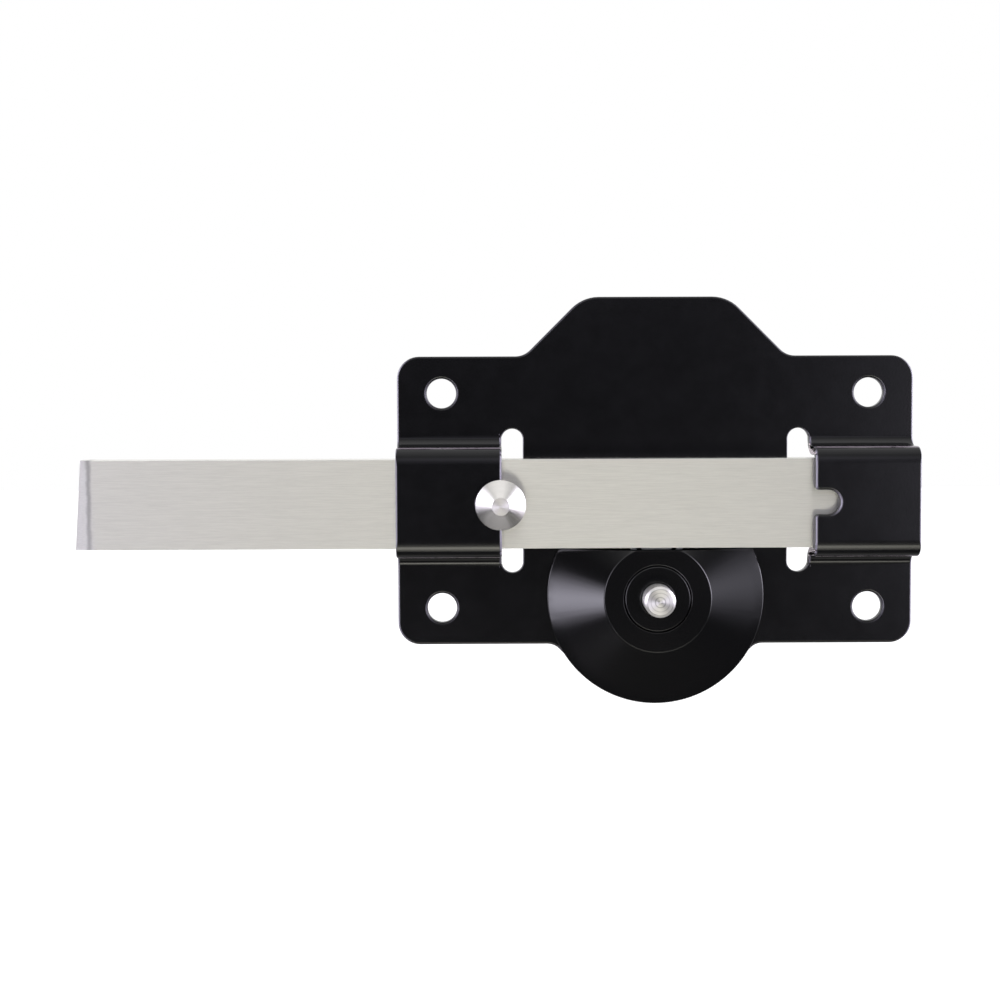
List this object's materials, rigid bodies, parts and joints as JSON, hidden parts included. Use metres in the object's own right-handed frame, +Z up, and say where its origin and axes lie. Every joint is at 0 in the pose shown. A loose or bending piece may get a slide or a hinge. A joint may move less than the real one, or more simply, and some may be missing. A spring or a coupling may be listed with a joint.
{
  "type": "throw lock",
  "caption": "Long throw gate lock: a pressed plate with two bridges carries a sliding bar, driven by a key cylinder through a rack and pinion, with a knob and a release button",
  "frame": {"origin": "on the plate's rear face, at the middle of its four fixing holes", "axes": "+X along the bolt to the right as seen by someone facing the lock, so the bolt throws towards -X; +Y into the gate; +Z up"},
  "size_m": [0.2825, 0.073, 0.1383],
  "materials": {
    "black_coat": "semi-gloss black powder coat",
    "black_bush": "gloss black, turned",
    "brushed_stainless": "brushed along its length",
    "turned_stainless": "turned bright",
    "zinc_steel": "zinc plated",
    "spring_steel": "oiled",
    "brass": "satin"
  },
  "bodies": {
    "plate": {"base_plate": "black_coat", "lock_cover": "black_coat", "cover_bush": "black_bush", "cover_screw_1": "zinc_steel", "cover_screw_2": "zinc_steel", "cover_screw_3": "zinc_steel", "barrel": "brass", "barrel_nut": "zinc_steel", "cylinder_body": "brass", "cylinder_set_screw": "zinc_steel", "return_spring": "spring_steel", "driver_pin_1": "brass", "driver_pin_2": "brass", "driver_pin_3": "brass", "driver_pin_4": "brass", "driver_pin_5": "brass", "pin_spring_1": "spring_steel", "pin_spring_2": "spring_steel", "pin_spring_3": "spring_steel", "pin_spring_4": "spring_steel", "pin_spring_5": "spring_steel", "chamber_cap_1": "brass", "chamber_cap_2": "brass", "chamber_cap_3": "brass", "chamber_cap_4": "brass", "chamber_cap_5": "brass"},
    "bolt": {"bolt_bar": "brushed_stainless", "bolt_knob": "turned_stainless"},
    "key_train": {"cylinder_plug": "brass", "tailpiece": "zinc_steel", "plug_clip": "spring_steel", "key_pin_1": "brass", "key_pin_2": "brass", "key_pin_3": "brass", "key_pin_4": "brass", "key_pin_5": "brass"},
    "drive": {"release_button": "turned_stainless", "drive_pinion": "zinc_steel", "pinion_clip": "spring_steel"}
  },
  "joints": [
    {"name": "bolt_slide", "type": "slide", "parent": "plate", "child": "bolt", "axis": [1, 0, 0], "range_m": [0, 0.10996]},
    {"name": "key_turn", "type": "hinge", "parent": "plate", "child": "key_train", "pos_m": [0, 0, -0.03252], "axis": [0, 1, 0], "range_deg": [0, 360.01]},
    {"name": "button_press", "type": "slide", "parent": "key_train", "child": "drive", "axis": [0, 1, 0], "range_m": [0, 0.0025], "stiffness_N_per_m": 600, "springref_m": -0.002, "deforming": ["return_spring"]}
  ],
  "couplings": [
    {"joint": "key_turn", "follows": "bolt_slide", "rad_per_m": 57.143}
  ]
}
